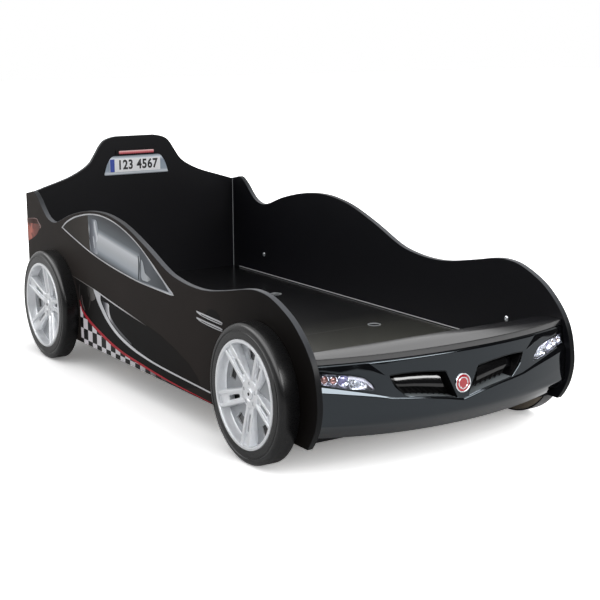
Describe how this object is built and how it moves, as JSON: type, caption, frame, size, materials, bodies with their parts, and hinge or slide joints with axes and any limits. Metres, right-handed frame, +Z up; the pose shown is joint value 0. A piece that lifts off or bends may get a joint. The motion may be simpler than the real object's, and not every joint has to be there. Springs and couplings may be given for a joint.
{
  "type": "toddler bed",
  "caption": "Low single bed shaped like a sports car, with contoured side panels, a peaked headboard, a moulded bumper with lamps and grilles, deep wheels and a lift-out deck.",
  "frame": {"origin": "centre of the bed's box, on the floor", "axes": "+Z up; the car's nose points to -Y and the headboard stands at +Y; +X is to the right of someone who stands in front of the nose"},
  "size_m": [1.07, 2.125, 0.808],
  "materials": {
    "black_board": "black foil-faced fibreboard, satin, with light grey edging",
    "raw_board": "bare fibreboard",
    "pine": "planed softwood",
    "gloss_black": "gloss",
    "tyre_black": "satin",
    "silver": "silver paint",
    "steel": "zinc plated",
    "grey_plastic": "satin",
    "dark_plastic": "satin",
    "clear": "clear moulded plastic",
    "plate_white": "gloss",
    "badge_red": "gloss",
    "lamp_red": "translucent gloss"
  },
  "bodies": {
    "frame": {"side_panel_left": "black_board", "side_panel_right": "black_board", "headboard": "black_board", "plate_surround": "silver", "number_plate": "plate_white", "brake_lamp_housing": "dark_plastic", "brake_lamp_lens": "lamp_red", "foot_board": "black_board", "front_shelf": "black_board", "bumper_shell": "gloss_black", "headlamp_tray_left": "silver", "headlamp_lens_left": "clear", "grille_left": "dark_plastic", "headlamp_tray_right": "silver", "headlamp_lens_right": "clear", "grille_right": "dark_plastic", "nose_badge": "badge_red", "guide_strip_left": "grey_plastic", "guide_strip_right": "grey_plastic", "cross_bearer_front": "pine", "centre_leg_front": "pine", "leg_glide_front": "dark_plastic", "deck_ledger_front": "pine", "bearer_shoe_front_left": "steel", "bearer_shoe_front_right": "steel", "cross_bearer_rear": "pine", "centre_leg_rear": "pine", "leg_glide_rear": "dark_plastic", "deck_ledger_rear": "pine", "bearer_shoe_rear_left": "steel", "bearer_shoe_rear_right": "steel", "wheel_disc_front_left": "raw_board", "tyre_front_left": "tyre_black", "rim_front_left": "silver", "wheel_cap_front_left": "silver", "wheel_bolt_front_left": "dark_plastic", "wheel_disc_front_right": "raw_board", "tyre_front_right": "tyre_black", "rim_front_right": "silver", "wheel_cap_front_right": "silver", "wheel_bolt_front_right": "dark_plastic", "wheel_disc_rear_left": "raw_board", "tyre_rear_left": "tyre_black", "rim_rear_left": "silver", "wheel_cap_rear_left": "silver", "wheel_bolt_rear_left": "dark_plastic", "wheel_disc_rear_right": "raw_board", "tyre_rear_right": "tyre_black", "rim_rear_right": "silver", "wheel_cap_rear_right": "silver", "wheel_bolt_rear_right": "dark_plastic"},
    "deck_rear": {"deck_board_rear": "black_board", "finger_ring_rear_left": "grey_plastic", "finger_ring_rear_right": "grey_plastic"},
    "deck_middle": {"deck_board_middle": "black_board", "finger_ring_front_left": "grey_plastic", "finger_ring_front_right": "grey_plastic"},
    "deck_front": {"deck_board_front": "black_board"}
  },
  "joints": [
    {"name": "deck_rear_lift", "type": "slide", "parent": "frame", "child": "deck_rear", "axis": [0, 0, 1], "range_m": [0, 0.4]},
    {"name": "deck_middle_lift", "type": "slide", "parent": "frame", "child": "deck_middle", "axis": [0, 0, 1], "range_m": [0, 0.4]},
    {"name": "deck_front_lift", "type": "slide", "parent": "frame", "child": "deck_front", "axis": [0, 0, 1], "range_m": [0, 0.4]}
  ]
}
